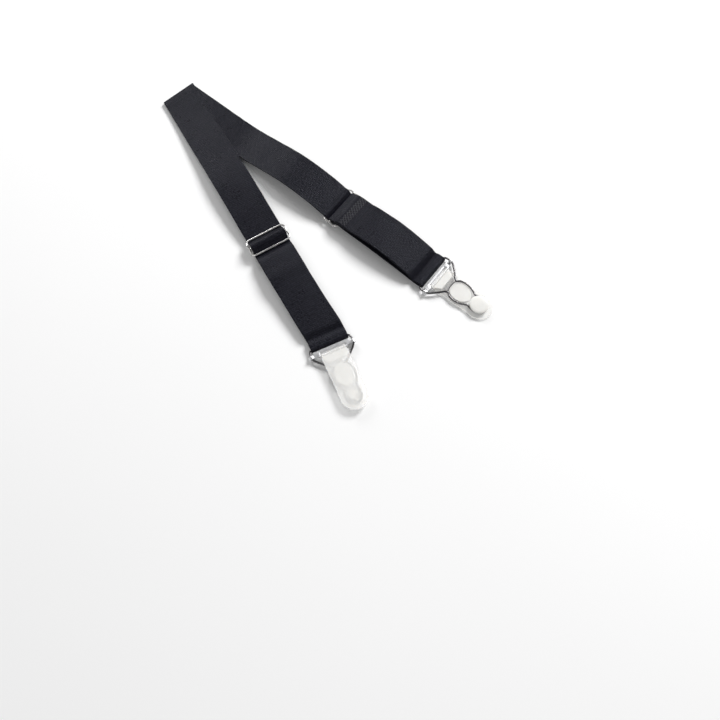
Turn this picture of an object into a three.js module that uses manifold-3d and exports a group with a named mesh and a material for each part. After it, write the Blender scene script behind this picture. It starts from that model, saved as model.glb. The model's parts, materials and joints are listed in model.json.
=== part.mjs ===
// A pair-ended garter suspender: one elastic strap folded into a V, with an identical
// slide adjuster and wire-and-tongue grip at both ends. Millimetres, +Z up.
// The fold lies towards +Y and the legs run towards -Y. The origin is the middle of the
// laid-out V, on the surface that it lies on.

import * as THREE from 'three';
import { mergeVertices } from 'three/addons/utils/BufferGeometryUtils.js';
import Module from 'manifold-3d';

const wasm = await Module();
wasm.setup();

// ---- Driving dimensions -------------------------------------------------------------

const STRAP_WIDTH = 25;
const STRAP_THICKNESS = 1;
const LAYER_GAP = 0.3;            // between layers of strap, and between strap and metal
const V_ANGLE = THREE.MathUtils.degToRad(21.3);
const HALF_WEB = 295.5;           // fold to sewn end, measured along the strap
const FOLD_FLAT = 6;              // flat stretch on each side of the fold
const LAYER_STEP = STRAP_THICKNESS + LAYER_GAP;

const SLIDER_WIRE_RADIUS = 0.6;
const SLIDER_BAR_RADIUS = 0.55;
const SLIDER_PITCH = 5.8;         // centre bar to each outer bar
const SLIDER_SIDE_GAP = 0.25;     // strap edge to the frame's waist
const SLIDER_LOBE = 0.5;          // how far each lobe stands out past the waist
const SLIDER_CORNER = 2.85;       // where the outer bars start to round into the lobes
const SEWN_TURN_IN = 12.5;        // turned-in end, measured from the centre bar
const SEWN_LENGTH = 16;           // stretch of the back layer that belongs to the sewn end
const STITCH_LENGTH = 5;
const STITCH_START = 6.6;
const STITCH_MARGIN = 1;
const STITCH_THICKNESS = 0.35;

const GRIP_WIRE_RADIUS = 0.65;
const GRIP_SIDE_ROOM = 1.45;      // strap edge to the wire's centre at the top bar
const GRIP_CORNER = 2.6;          // rounded corner between the top bar and a shoulder
const GRIP_BAR_CLEARANCE = 0.4;   // room for the bar inside the strap's end fold
const SHOULDER_LENGTH = 6.9;      // straight sides below the top bar
const SHOULDER_BEND = 0.9;        // each side of the bend from a shoulder into a limb
const PINCH_AT = 16.35;
const PINCH_HALF_WIDTH = 4.75;
const PINCH_BEND = 0.9;           // each side of the bend from a limb into the ring
const RING_START = 2.2;           // from the pinch, where the ring has bent round
const RING_START_INSET = 0.85;
const RING_AT = 22.6;
const RING_HALF_WIDTH = 7.15;
const RING_REACH = 4.2;           // from the ring's widest point on towards the waist
const RING_REACH_INSET = 0.6;
const WAIST_AT = 31.6;
const WAIST_HALF_WIDTH = 4.4;
const WAIST_BEND = 1.9;           // each side of the waist, where the wire curves
const WAIST_RISE = 0.9;
const WAIST_FALL = 0.35;
const KEYHOLE_AT = 37.4;
const KEYHOLE_RADIUS = 5;
const DIAGONAL = Math.SQRT1_2;    // sine and cosine of half a right angle

const PLATE_THICKNESS = 0.5;
const PLATE_NEAR = 2.7;           // edges of the plate's upper strip, from the top bar
const PLATE_FAR = 4.7;
const KNUCKLE_CLEARANCE = 0.3;
const KNUCKLE_START = 4.1;
const KNUCKLE_END = 6.4;
const RAIL_AT = 6.6;
const RAIL_LIFT = 0.85;           // rail axis above the wire's plane
const RAIL_RADIUS = 0.5;
const RAIL_CLEARANCE = 0.15;
const SLEEVE_WALL = 0.6;
const SLEEVE_HALF_WIDTH = 8.3;
const LINK_GAP = 0.3;
const LINK_WIDTH = 1.6;           // arms that hold the rail's ends
const LINK_TO_SHOULDER = 1.55;    // side of the flat plate to the shoulder wire's centre
const CURL_OVERLAP = 1;           // how far a curled end runs into the flat plate

const TONGUE_THICKNESS = 1.15;
const TONGUE_GAP = 0.3;           // wire to tongue
const TONGUE_HALF_WIDTH = 8.8;
const TONGUE_WAIST = 8.3;
const TONGUE_TIP = 47;
const TONGUE_END_LENGTH = 9;
const TONGUE_SHOULDER = 1.5;      // over which the sleeve widens into the tongue
const TONGUE_NARROWEST = RING_AT + 4;
const FLAP_END = 12.5;
const FLAP_HALF_WIDTH = 5.7;
const PAD_START = 15.2;
const PAD_END = 30.6;
const PAD_HEIGHT = 0.6;
const PAD_MARGIN = 0.7;           // pad edge to the ring wire
const NECK_RADIUS = 3.1;
const HEAD_RADIUS = 6.2;
const HEAD_THICKNESS = 1.15;
const HEAD_EDGE = 0.3;            // rounding of the head's rim
const HEAD_DOME = 2.6;            // from the rim in to the flat of the dome
const BUTTON_GAP = 0.3;

const WIRE_SIDES = 8;
const GRIP_WIRE_STEPS = 100;
const SLIDER_WIRE_STEPS = 64;

// How each leg lies. face is 1 where the adjuster's face is up and -1 where it is turned
// over. lean is how many degrees the grip is turned on the surface. Heights are above the
// surface: start is the strap's middle at the fold, arch is the upper strap's run of
// [share of the way to the slider, height], front and back are the two layers below the
// slider as [share of the way to the end fold, height].
const GRIP_HEIGHT = 2.15;         // wire centre of both grips
const LEGS = {
  left: {
    face: 1, turn: -1, lean: -6, sliderAt: 135, frameHeight: 5.3, start: 1.9,
    arch: [[0.2, 2.4], [0.42, 4.4], [0.62, 6.4], [0.8, 5.8]],
    front: [[0.16, 6.2], [0.35, 6.6], [0.62, 5.6], [0.84, 4.7]],
    back: [[0.3, 0.75], [0.6, 0.6], [0.8, 0.55]],
  },
  right: {
    face: -1, turn: 1, lean: 0, sliderAt: 148, frameHeight: 3.4, start: 0.5,
    arch: [[0.2, 0.5], [0.3, 0.5], [0.42, 1], [0.56, 4.6], [0.72, 8.6], [0.87, 7.4]],
    front: [[0.2, 4.4], [0.45, 4.2], [0.7, 2.6], [0.86, 1.1]],
    back: [[0.3, 8.6], [0.5, 8.9], [0.7, 7.4], [0.88, 4.9]],
  },
};

const FOLD_HEIGHT = (LEGS.left.start + LEGS.right.start) / 2;
const FOLD_RADIUS = (LEGS.left.start - LEGS.right.start) / 2;
const FOLD_GAP = 0.3;
const WAIST_INNER = STRAP_WIDTH / 2 + SLIDER_SIDE_GAP;
const SLIDER_WAIST = WAIST_INNER + SLIDER_WIRE_RADIUS;
const GRIP_HALF_WIDTH = STRAP_WIDTH / 2 + GRIP_SIDE_ROOM;
const LINK_HALF_WIDTH = GRIP_HALF_WIDTH - LINK_TO_SHOULDER;
const UNDER_BAR = SLIDER_WIRE_RADIUS + LAYER_GAP + STRAP_THICKNESS / 2;
const LOOP_RADIUS = SLIDER_BAR_RADIUS + LAYER_GAP + STRAP_THICKNESS / 2;
const OVER_BAR = LOOP_RADIUS + LAYER_STEP;
const END_FOLD_RADIUS = GRIP_WIRE_RADIUS + GRIP_BAR_CLEARANCE + STRAP_THICKNESS / 2;
const END_FOLD_FLAT = 6;
const SLEEVE_INNER = RAIL_RADIUS + RAIL_CLEARANCE;
const SLEEVE_OUTER = SLEEVE_INNER + SLEEVE_WALL;
const TONGUE_UNDER = GRIP_WIRE_RADIUS + TONGUE_GAP;
const JOIN = 0.05;                // parts of one solid run this far into each other

// ---- Materials ----------------------------------------------------------------------

const material = (color, roughness, metalness) =>
  new THREE.MeshStandardMaterial({ color, roughness, metalness });
const ELASTIC = material(0x17171c, 0.6, 0);
const THREAD = material(0x0c0c10, 0.7, 0);
const NICKEL = material(0xd6d6d8, 0.2, 1);
const GUNMETAL = material(0x6c6b72, 0.3, 1);
const TINPLATE = material(0xb9bac0, 0.3, 1);
const MILKY = material(0xe9e8e4, 0.35, 0);

// ---- Solids -------------------------------------------------------------------------

const cleaned = (geometry) => {
  const plain = geometry.index ? geometry : geometry.clone();
  plain.deleteAttribute('normal');
  plain.deleteAttribute('uv');
  return mergeVertices(plain, 1e-4);
};

const toManifold = (geometry) => {
  const merged = cleaned(geometry);
  return new wasm.Manifold(new wasm.Mesh({
    numProp: 3,
    vertProperties: new Float32Array(merged.attributes.position.array),
    triVerts: new Uint32Array(merged.index.array),
  }));
};

const fromManifold = (solid) => {
  const mesh = solid.getMesh();
  const geometry = new THREE.BufferGeometry();
  geometry.setAttribute('position', new THREE.BufferAttribute(mesh.vertProperties, 3));
  geometry.setIndex(new THREE.BufferAttribute(mesh.triVerts, 1));
  geometry.computeVertexNormals();
  return geometry;
};

// Joins the first list of geometries and cuts the second list out of them.
function joined(added, cut = []) {
  let solid = toManifold(added[0]);
  for (const piece of added.slice(1)) solid = solid.add(toManifold(piece));
  for (const piece of cut) solid = solid.subtract(toManifold(piece));
  return fromManifold(solid);
}

const box = (x0, x1, y0, y1, z0, z1) =>
  new THREE.BoxGeometry(x1 - x0, y1 - y0, z1 - z0)
    .translate((x0 + x1) / 2, (y0 + y1) / 2, (z0 + z1) / 2);

const crossBar = (radius, halfLength, x, z, sides = 16) =>
  new THREE.CylinderGeometry(radius, radius, 2 * halfLength, sides).translate(x, 0, z);

// A flat band of even thickness that follows a path of (x, z) points, as wide as width
// along y. The band's first and last ends can each be cut askew by a slope.
function band(path, thickness, width, firstMitre = 0, lastMitre = 0) {
  const half = thickness / 2;
  const sideAt = (i, sign) => {
    const before = path[Math.max(i - 1, 0)];
    const after = path[Math.min(i + 1, path.length - 1)];
    const along = new THREE.Vector2().subVectors(after, before).normalize();
    return new THREE.Vector2(path[i].x - sign * half * along.y, path[i].y + sign * half * along.x);
  };
  const upper = path.map((_, i) => sideAt(i, 1));
  const lower = path.map((_, i) => sideAt(i, -1)).reverse();
  const geometry = new THREE.ExtrudeGeometry(new THREE.Shape([...upper, ...lower]), {
    depth: width, steps: 1, bevelEnabled: false,
  });
  geometry.rotateX(Math.PI / 2).translate(0, width / 2, 0);
  const position = geometry.attributes.position;
  const firstEnd = Math.max(upper[0].x, lower[lower.length - 1].x) + 1e-3;
  const lastEnd = Math.min(upper[upper.length - 1].x, lower[0].x) - 1e-3;
  for (let i = 0; i < position.count; i++) {
    const x = position.getX(i);
    if (firstMitre && x < firstEnd) position.setX(i, x + firstMitre * position.getY(i));
    if (lastMitre && x > lastEnd) position.setX(i, x + lastMitre * position.getY(i));
  }
  return geometry;
}

// A smooth run of points through the given [x, z] pairs.
const smooth = (pairs, divisions) =>
  new THREE.SplineCurve(pairs.map(([x, z]) => new THREE.Vector2(x, z))).getSpacedPoints(divisions);

const arc = (x, z, radius, fromDegrees, toDegrees, divisions) =>
  new THREE.ArcCurve(x, z, radius, THREE.MathUtils.degToRad(fromDegrees),
    THREE.MathUtils.degToRad(toDegrees), toDegrees < fromDegrees).getPoints(divisions);

// A round wire along a closed flat outline. The outline's half with y >= 0 is given, from
// its first point on the centre line to its last.
function closedWire(halfOutline, radius, steps) {
  const back = halfOutline.slice(1, -1).reverse().map(([x, y]) => [x, -y]);
  const points = [...halfOutline, ...back].map(([x, y]) => new THREE.Vector3(x, y, 0));
  const path = new THREE.CatmullRomCurve3(points, true, 'centripetal');
  const section = new THREE.Shape(
    Array.from({ length: WIRE_SIDES }, (_, i) => {
      const angle = (2 * Math.PI * (i + 0.5)) / WIRE_SIDES;
      return new THREE.Vector2(radius * Math.cos(angle), radius * Math.sin(angle));
    }));
  const swept = new THREE.ExtrudeGeometry(section, { steps, extrudePath: path });
  const sides = swept.groups[1];
  const floats = swept.attributes.position.array.slice(3 * sides.start, 3 * (sides.start + sides.count));
  const geometry = new THREE.BufferGeometry();
  geometry.setAttribute('position', new THREE.BufferAttribute(floats, 3));
  return mergeVertices(geometry, 1e-3);
}

// ---- Strap --------------------------------------------------------------------------

// Height of the main web over the slider's frame, at a distance u from the centre bar.
const webRise = (u) =>
  -UNDER_BAR + (OVER_BAR + UNDER_BAR) * (0.5 + 0.5 * Math.cos((Math.PI * u) / SLIDER_PITCH));

// The main web's path through the slider, from u0 to u1.
const throughSlider = (u0, u1, divisions) =>
  Array.from({ length: divisions + 1 }, (_, i) => {
    const u = u0 + ((u1 - u0) * i) / divisions;
    return new THREE.Vector2(u, webRise(u));
  });

// The path one layer below the main web, which the turned-in end follows.
const belowWeb = (u0, u1, divisions) =>
  throughSlider(u0, u1, divisions).map((p) => {
    const slope = (webRise(p.x + 0.01) - webRise(p.x - 0.01)) / 0.02;
    const normal = new THREE.Vector2(-slope, 1).normalize();
    return p.clone().addScaledVector(normal, -LAYER_STEP);
  });

const FLAT_WEB = -UNDER_BAR;
const FLAT_TURN_IN = FLAT_WEB - LAYER_STEP;
const FLAT_BACK = FLAT_TURN_IN - LAYER_STEP;

function upperWeb(leg) {
  const { face, sliderAt, frameHeight, start, arch } = leg;
  const first = (FOLD_FLAT + FOLD_GAP) / Math.cos(V_ANGLE / 2);
  const underBar = frameHeight + face * FLAT_WEB;
  const run = [
    [first, start], [first + 6, start],
    ...arch.map(([share, z]) => [share * sliderAt, z]),
    [sliderAt - SLIDER_PITCH - 1.5, underBar], [sliderAt - SLIDER_PITCH, underBar],
  ].map(([x, z]) => [x, face * z]);
  const slider = throughSlider(-SLIDER_PITCH, -LAYER_GAP / 2, 12)
    .map((p) => new THREE.Vector2(p.x + sliderAt, p.y + face * frameHeight));
  const path = [...smooth(run, 26), ...slider.slice(1)];
  return band(path, STRAP_THICKNESS, STRAP_WIDTH, leg.turn * face * Math.tan(V_ANGLE / 2));
}

function frontLayer(leg, span) {
  const lift = (z) => leg.face * (z - leg.frameHeight);
  const run = [
    [SLIDER_PITCH, FLAT_WEB], [SLIDER_PITCH + 1.5, FLAT_WEB],
    ...leg.front.map(([share, z]) => [share * span, lift(z)]),
    [span - END_FOLD_FLAT - LAYER_GAP, lift(GRIP_HEIGHT + leg.face * END_FOLD_RADIUS)],
  ];
  return band([...throughSlider(LAYER_GAP / 2, SLIDER_PITCH, 12), ...smooth(run, 18).slice(1)],
    STRAP_THICKNESS, STRAP_WIDTH, 0, -Math.tan(THREE.MathUtils.degToRad(leg.lean)));
}

function backLayer(leg, span) {
  const lift = (z) => leg.face * (z - leg.frameHeight);
  const run = [
    [SEWN_LENGTH + LAYER_GAP, FLAT_BACK],
    ...leg.back.map(([share, z]) => [share * span, lift(z)]),
    [span - END_FOLD_FLAT - LAYER_GAP, lift(GRIP_HEIGHT - leg.face * END_FOLD_RADIUS)],
  ];
  return band(smooth(run, 14), STRAP_THICKNESS, STRAP_WIDTH,
    0, -Math.tan(THREE.MathUtils.degToRad(leg.lean)));
}

// The strap's last stretch: under the centre bar, round it, and turned in to be sewn.
function sewnEnd() {
  const turnedIn = [
    new THREE.Vector2(SEWN_TURN_IN, FLAT_TURN_IN),
    ...belowWeb(SLIDER_PITCH, 0.9, 10),
  ];
  const round = arc(0, 0, LOOP_RADIUS, 68, 270, 12);
  const under = smooth([[0, -LOOP_RADIUS], [SLIDER_PITCH / 2, (FLAT_BACK - LOOP_RADIUS) / 2],
    [SLIDER_PITCH, FLAT_BACK], [SEWN_LENGTH, FLAT_BACK]], 10);
  return band([...turnedIn, ...round, ...under.slice(1)], STRAP_THICKNESS, STRAP_WIDTH);
}

// The strap's turn round the grip's top bar, whose centre is the origin.
function endFold() {
  const path = [
    new THREE.Vector2(-END_FOLD_FLAT, END_FOLD_RADIUS),
    ...arc(0, 0, END_FOLD_RADIUS, 90, -90, 14),
    new THREE.Vector2(-END_FOLD_FLAT, -END_FOLD_RADIUS),
  ];
  return band(path, STRAP_THICKNESS, STRAP_WIDTH);
}

// The flat fold at the V's apex. It runs along x, and its two layers lean with the legs.
function apexFold() {
  const path = [
    new THREE.Vector2(-FOLD_FLAT, FOLD_RADIUS),
    ...arc(0, 0, FOLD_RADIUS, 90, -90, 10),
    new THREE.Vector2(-FOLD_FLAT, -FOLD_RADIUS),
  ];
  const geometry = band(path, STRAP_THICKNESS, STRAP_WIDTH / Math.cos(V_ANGLE / 2));
  const position = geometry.attributes.position;
  for (let i = 0; i < position.count; i++) {
    const lean = Math.min(position.getX(i), 0) * Math.tan(V_ANGLE / 2) * Math.sign(position.getZ(i));
    position.setY(i, position.getY(i) - lean);
  }
  return geometry.rotateZ(Math.PI / 2);
}

const stitching = () =>
  box(STITCH_START, STITCH_START + STITCH_LENGTH,
    -STRAP_WIDTH / 2 + STITCH_MARGIN, STRAP_WIDTH / 2 - STITCH_MARGIN,
    FLAT_BACK - STRAP_THICKNESS / 2 - LAYER_GAP - STITCH_THICKNESS,
    FLAT_BACK - STRAP_THICKNESS / 2 - LAYER_GAP);

// ---- Slide adjuster -----------------------------------------------------------------

function sliderFrame() {
  const straight = SLIDER_WAIST - SLIDER_CORNER;
  const quarter = [
    [0, SLIDER_WAIST], [0.25 * SLIDER_PITCH, SLIDER_WAIST + SLIDER_LOBE / 2],
    [0.6 * SLIDER_PITCH, SLIDER_WAIST + SLIDER_LOBE],
    [0.93 * SLIDER_PITCH, SLIDER_WAIST - SLIDER_CORNER / 4],
    [SLIDER_PITCH, straight], [SLIDER_PITCH, straight / 2], [SLIDER_PITCH, 0],
  ];
  const opposite = quarter.slice(1).reverse().map(([x, y]) => [-x, y]);
  return closedWire([...opposite, ...quarter], SLIDER_WIRE_RADIUS, SLIDER_WIRE_STEPS);
}

const sliderBar = () => crossBar(SLIDER_BAR_RADIUS, WAIST_INNER - LAYER_GAP, 0, 0, 12);

// ---- Grip ---------------------------------------------------------------------------

// The bent wire: top bar, straight shoulders, slanted limbs in to a pinch, the wide ring
// and the narrow keyhole end that holds the button's neck.
function gripWire() {
  const w = GRIP_HALF_WIDTH;
  const straight = w - GRIP_CORNER;
  return closedWire([
    [0, 0], [0, straight / 2], [0, straight],
    [(1 - DIAGONAL) * GRIP_CORNER, w - (1 - DIAGONAL) * GRIP_CORNER], [GRIP_CORNER, w],
    [SHOULDER_LENGTH - SHOULDER_BEND, w], [SHOULDER_LENGTH + SHOULDER_BEND, w - SHOULDER_BEND],
    [(SHOULDER_LENGTH + PINCH_AT) / 2, (w + PINCH_HALF_WIDTH) / 2],
    [PINCH_AT - PINCH_BEND, PINCH_HALF_WIDTH + PINCH_BEND / 2],
    [PINCH_AT + PINCH_BEND / 2, PINCH_HALF_WIDTH + PINCH_BEND / 4],
    [PINCH_AT + RING_START, RING_HALF_WIDTH - RING_START_INSET], [RING_AT, RING_HALF_WIDTH],
    [RING_AT + RING_REACH, RING_HALF_WIDTH - RING_REACH_INSET],
    [WAIST_AT - WAIST_BEND, WAIST_HALF_WIDTH + WAIST_RISE], [WAIST_AT, WAIST_HALF_WIDTH],
    [WAIST_AT + WAIST_BEND, WAIST_HALF_WIDTH + WAIST_FALL],
    [KEYHOLE_AT, KEYHOLE_RADIUS],
    [KEYHOLE_AT + DIAGONAL * KEYHOLE_RADIUS, DIAGONAL * KEYHOLE_RADIUS],
    [KEYHOLE_AT + KEYHOLE_RADIUS, 0],
  ], GRIP_WIRE_RADIUS, GRIP_WIRE_STEPS);
}

// The sheet-metal cross plate. Its ends curl round the wire's shoulders, and its lower
// edge is a round rail that carries the tongue.
function crossPlate() {
  const curl = GRIP_WIRE_RADIUS + KNUCKLE_CLEARANCE + PLATE_THICKNESS / 2;
  const knuckle = arc(GRIP_HALF_WIDTH, 0, curl, 110, -170, 14);
  const side = [new THREE.Vector2(LINK_HALF_WIDTH - CURL_OVERLAP, RAIL_LIFT), ...knuckle];
  const curled = band(side, PLATE_THICKNESS, KNUCKLE_END - KNUCKLE_START)
    .rotateZ(Math.PI / 2).translate((KNUCKLE_START + KNUCKLE_END) / 2, 0, 0);
  const link = SLEEVE_HALF_WIDTH + LINK_GAP;
  const z0 = RAIL_LIFT - PLATE_THICKNESS / 2;
  const z1 = RAIL_LIFT + PLATE_THICKNESS / 2;
  return joined([
    box(PLATE_NEAR, PLATE_FAR, -LINK_HALF_WIDTH, LINK_HALF_WIDTH, z0, z1),
    box(PLATE_NEAR, KNUCKLE_END, link, LINK_HALF_WIDTH, z0, z1),
    box(PLATE_NEAR, KNUCKLE_END, -LINK_HALF_WIDTH, -link, z0, z1),
    box(PLATE_FAR - JOIN, RAIL_AT + RAIL_RADIUS, link, link + LINK_WIDTH, z0, z1),
    box(PLATE_FAR - JOIN, RAIL_AT + RAIL_RADIUS, -link - LINK_WIDTH, -link, z0, z1),
    crossBar(RAIL_RADIUS, link + LINK_WIDTH / 2, RAIL_AT, RAIL_LIFT, 12),
    curled, mirroredAcross(curled),
  ]);
}

// A copy turned over to the other side of the centre line, faces still pointing out.
function mirroredAcross(geometry) {
  const merged = cleaned(geometry);
  merged.scale(1, -1, 1);
  const index = merged.index;
  for (let i = 0; i < index.count; i += 3) {
    const a = index.getX(i);
    index.setX(i, index.getX(i + 1));
    index.setX(i + 1, a);
  }
  return merged;
}

// A flat slab of the given outline, from height z0 to z1.
const slab = (shape, z0, z1) =>
  new THREE.ExtrudeGeometry(shape, { depth: z1 - z0, steps: 1, bevelEnabled: false, curveSegments: 14 })
    .translate(0, 0, z0);

function tongueOutline() {
  const shape = new THREE.Shape();
  const start = RAIL_AT + SLEEVE_OUTER;
  const endAt = TONGUE_TIP - TONGUE_END_LENGTH;
  shape.moveTo(RAIL_AT, -SLEEVE_HALF_WIDTH);
  shape.lineTo(start, -SLEEVE_HALF_WIDTH);
  shape.lineTo(start + TONGUE_SHOULDER, -TONGUE_HALF_WIDTH);
  shape.quadraticCurveTo(TONGUE_NARROWEST, -TONGUE_WAIST, endAt, -TONGUE_HALF_WIDTH);
  shape.absellipse(endAt, 0, TONGUE_END_LENGTH, TONGUE_HALF_WIDTH, -Math.PI / 2, Math.PI / 2);
  shape.quadraticCurveTo(TONGUE_NARROWEST, TONGUE_WAIST, start + TONGUE_SHOULDER, TONGUE_HALF_WIDTH);
  shape.lineTo(start, SLEEVE_HALF_WIDTH);
  shape.lineTo(RAIL_AT, SLEEVE_HALF_WIDTH);
  return shape;
}

function flapOutline() {
  const shape = new THREE.Shape();
  shape.moveTo(RAIL_AT, -SLEEVE_HALF_WIDTH);
  shape.lineTo(RAIL_AT + SLEEVE_OUTER, -SLEEVE_HALF_WIDTH);
  shape.lineTo(FLAP_END, -FLAP_HALF_WIDTH);
  shape.lineTo(FLAP_END, FLAP_HALF_WIDTH);
  shape.lineTo(RAIL_AT + SLEEVE_OUTER, SLEEVE_HALF_WIDTH);
  shape.lineTo(RAIL_AT, SLEEVE_HALF_WIDTH);
  return shape;
}

function padOutline() {
  const shape = new THREE.Shape();
  const half = RING_HALF_WIDTH - GRIP_WIRE_RADIUS - PAD_MARGIN;
  shape.absellipse((PAD_START + PAD_END) / 2, 0, (PAD_END - PAD_START) / 2, half, 0, 2 * Math.PI);
  return shape;
}

// The moulded tongue: a sleeve round the plate's rail, a short flap on the wire side, the
// long strip behind the wire and the raised oval pad inside the ring.
function tongue() {
  const top = TONGUE_UNDER + TONGUE_THICKNESS;
  return joined([
    slab(tongueOutline(), TONGUE_UNDER, top),
    crossBar(SLEEVE_OUTER, SLEEVE_HALF_WIDTH, RAIL_AT, RAIL_LIFT, 20),
    slab(flapOutline(), RAIL_LIFT - SLEEVE_OUTER, TONGUE_UNDER + JOIN),
    slab(padOutline(), TONGUE_UNDER - PAD_HEIGHT, TONGUE_UNDER + JOIN),
  ], [
    crossBar(SLEEVE_INNER, SLEEVE_HALF_WIDTH + 1, RAIL_AT, RAIL_LIFT, 20),
  ]);
}

// The button: a neck through the keyhole and a domed head on the wire's far side.
function button() {
  const neckTop = TONGUE_UNDER - BUTTON_GAP;
  const headTop = -GRIP_WIRE_RADIUS - TONGUE_GAP;
  const headEnd = headTop - HEAD_THICKNESS;
  const profile = [
    [0, neckTop], [NECK_RADIUS, neckTop], [NECK_RADIUS, headTop],
    [HEAD_RADIUS - HEAD_EDGE, headTop], [HEAD_RADIUS, headTop - HEAD_EDGE],
    [HEAD_RADIUS - HEAD_EDGE, headTop - 0.65 * HEAD_THICKNESS],
    [HEAD_RADIUS - HEAD_DOME / 2, headEnd + HEAD_EDGE / 3],
    [HEAD_RADIUS - HEAD_DOME, headEnd], [0, headEnd],
  ].map(([r, z]) => new THREE.Vector2(r, z)).reverse();
  return new THREE.LatheGeometry(profile, 24).rotateX(Math.PI / 2).translate(KEYHOLE_AT, 0, 0);
}

// ---- Assembly -----------------------------------------------------------------------

const part = (name, geometry, finish) => {
  const mesh = new THREE.Mesh(geometry, finish);
  mesh.name = name;
  return mesh;
};

const group = (name, x, y, z) => {
  const made = new THREE.Group();
  made.name = name;
  made.position.set(x, y, z);
  return made;
};

// One leg lies along its own +x from the fold. Its z is the adjuster's face side, so a leg
// that lies face down is the same leg turned over.
function makeLeg(name, leg) {
  const gripAt = (HALF_WEB + leg.sliderAt) / 2;
  const span = gripAt - leg.sliderAt;
  const whole = group(`${name}_leg`, 0, 0, 0);
  const slider = group(`${name}_slider`, leg.sliderAt, 0, leg.face * leg.frameHeight);
  const grip = group(`${name}_grip`, gripAt, 0, leg.face * GRIP_HEIGHT);
  grip.rotation.z = THREE.MathUtils.degToRad(leg.lean);

  whole.add(part(`${name}_upper_web`, upperWeb(leg), ELASTIC));
  slider.add(
    part(`${name}_slider_frame`, sliderFrame(), NICKEL),
    part(`${name}_slider_bar`, sliderBar(), NICKEL),
    part(`${name}_sewn_end`, sewnEnd(), ELASTIC),
    part(`${name}_stitching`, stitching(), THREAD),
    part(`${name}_front_layer`, frontLayer(leg, span), ELASTIC),
    part(`${name}_back_layer`, backLayer(leg, span), ELASTIC));
  grip.add(
    part(`${name}_end_fold`, endFold(), ELASTIC),
    part(`${name}_grip_wire`, gripWire(), GUNMETAL),
    part(`${name}_cross_plate`, crossPlate(), TINPLATE),
    part(`${name}_tongue`, tongue(), MILKY),
    part(`${name}_button`, button(), MILKY));
  whole.add(slider, grip);
  whole.rotation.set(leg.face > 0 ? 0 : Math.PI, 0, -Math.PI / 2 + (leg.turn * V_ANGLE) / 2, 'ZYX');
  return whole;
}

function makeSuspender() {
  const model = group('suspender', 0, 0, 0);
  const fold = group('fold', 0, 0, FOLD_HEIGHT);
  fold.add(part('strap_fold', apexFold(), ELASTIC));
  model.add(fold, makeLeg('left', LEGS.left), makeLeg('right', LEGS.right));
  model.updateMatrixWorld(true);
  const bounds = new THREE.Box3().setFromObject(model, true);
  const middle = bounds.getCenter(new THREE.Vector3());
  model.position.set(-middle.x, -middle.y, -bounds.min.z);
  return model;
}

export default makeSuspender();
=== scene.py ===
import json
import math

import bmesh
import bpy
import numpy as np
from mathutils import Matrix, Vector


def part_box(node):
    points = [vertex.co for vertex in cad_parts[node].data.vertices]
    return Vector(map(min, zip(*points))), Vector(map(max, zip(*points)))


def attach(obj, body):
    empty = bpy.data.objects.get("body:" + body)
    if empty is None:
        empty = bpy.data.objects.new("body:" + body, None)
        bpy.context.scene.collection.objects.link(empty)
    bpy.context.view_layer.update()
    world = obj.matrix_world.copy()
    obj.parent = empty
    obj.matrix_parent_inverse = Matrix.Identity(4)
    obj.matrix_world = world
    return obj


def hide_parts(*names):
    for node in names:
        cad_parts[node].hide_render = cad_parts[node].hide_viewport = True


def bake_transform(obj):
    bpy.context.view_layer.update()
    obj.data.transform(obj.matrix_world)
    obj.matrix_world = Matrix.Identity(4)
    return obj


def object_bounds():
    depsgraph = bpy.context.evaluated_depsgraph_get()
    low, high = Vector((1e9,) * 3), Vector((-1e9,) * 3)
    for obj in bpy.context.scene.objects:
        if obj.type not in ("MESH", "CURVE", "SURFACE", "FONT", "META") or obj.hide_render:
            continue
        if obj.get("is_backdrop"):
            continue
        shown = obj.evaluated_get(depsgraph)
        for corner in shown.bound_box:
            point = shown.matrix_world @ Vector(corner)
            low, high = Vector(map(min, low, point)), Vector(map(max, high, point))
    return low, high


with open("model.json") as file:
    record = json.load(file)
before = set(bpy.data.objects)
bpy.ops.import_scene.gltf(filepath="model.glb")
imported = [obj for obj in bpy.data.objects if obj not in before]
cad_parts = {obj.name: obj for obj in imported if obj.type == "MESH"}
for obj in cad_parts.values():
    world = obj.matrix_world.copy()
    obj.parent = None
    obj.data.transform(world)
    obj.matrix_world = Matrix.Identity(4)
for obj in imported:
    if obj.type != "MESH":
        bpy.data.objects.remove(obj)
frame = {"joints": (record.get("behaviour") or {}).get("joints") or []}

CAD_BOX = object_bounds()
JOINTS = {joint["name"]: joint for joint in frame["joints"]}
MM = 0.001

# ---- Sizes, in millimetres ------------------------------------------------------------

STRAP_WIDTH = 25.0
HALF_STRAP = STRAP_WIDTH / 2
THICKNESS = 1.0
V_ANGLE = math.radians(21.3)
FOLD_FLAT = 6.0
FOLD_HEIGHT = 1.2
FOLD_RADIUS = 0.7
LAYER_STEP = 1.3
RIB_PITCH = 0.625
RIB_DEPTH = 0.05
WEFT_PITCH = 1.25
EDGE_ROUND = 0.5

SLIDER_PITCH = 5.8
SLIDER_WIRE = 0.6
SLIDER_BAR = 0.55
SLIDER_WAIST = HALF_STRAP + 0.85
UNDER_BAR = 1.4
LOOP_RADIUS = 1.35
OVER_BAR = LOOP_RADIUS + LAYER_STEP
SEWN_TURN_IN = 12.5
SEWN_LENGTH = 16.0
SLIDER_LOBE, SLIDER_SWELL, SLIDER_CORNER = 0.5, 0.25, 2.85
BAR_OVERRUN, BAR_BEAD = 0.1, 0.25
STITCHING_AT, STITCH_SINK = 9.1, 0.05

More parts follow.
